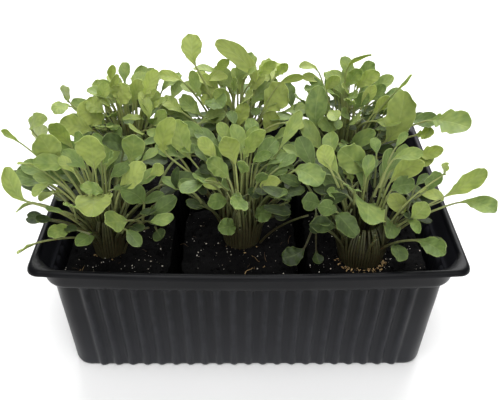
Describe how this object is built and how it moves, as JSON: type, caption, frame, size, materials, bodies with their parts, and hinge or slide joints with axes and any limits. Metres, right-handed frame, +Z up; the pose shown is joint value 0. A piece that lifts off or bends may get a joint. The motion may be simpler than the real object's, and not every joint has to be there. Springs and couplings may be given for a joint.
{
  "type": "potted arugula seedlings",
  "caption": "Shallow ribbed growing tray filled with blocks of potting soil, each carrying a tight clump of young arugula seedlings.",
  "frame": {"origin": "middle of the tray's flat underside, on the surface it stands on", "axes": "+X to the right along the tray's long side, +Y to the back, +Z up"},
  "size_m": [0.2996, 0.2091, 0.2031],
  "materials": {
    "black_plastic": "thin pressed plastic, black, satin",
    "potting_soil": "damp dark peat with white specks and pale fibres",
    "arugula_leaf": "soft green leaf with a pale midrib, slightly waxy"
  },
  "bodies": {
    "root": {"tray": "black_plastic", "soil_front_left": "potting_soil", "soil_front_middle": "potting_soil", "soil_front_right": "potting_soil", "soil_back_left": "potting_soil", "soil_back_middle": "potting_soil", "soil_back_right": "potting_soil", "seedlings_front_left": "arugula_leaf", "seedlings_front_middle": "arugula_leaf", "seedlings_front_right": "arugula_leaf", "seedlings_back_left": "arugula_leaf", "seedlings_back_middle": "arugula_leaf", "seedlings_back_right": "arugula_leaf"}
  },
  "joints": []
}
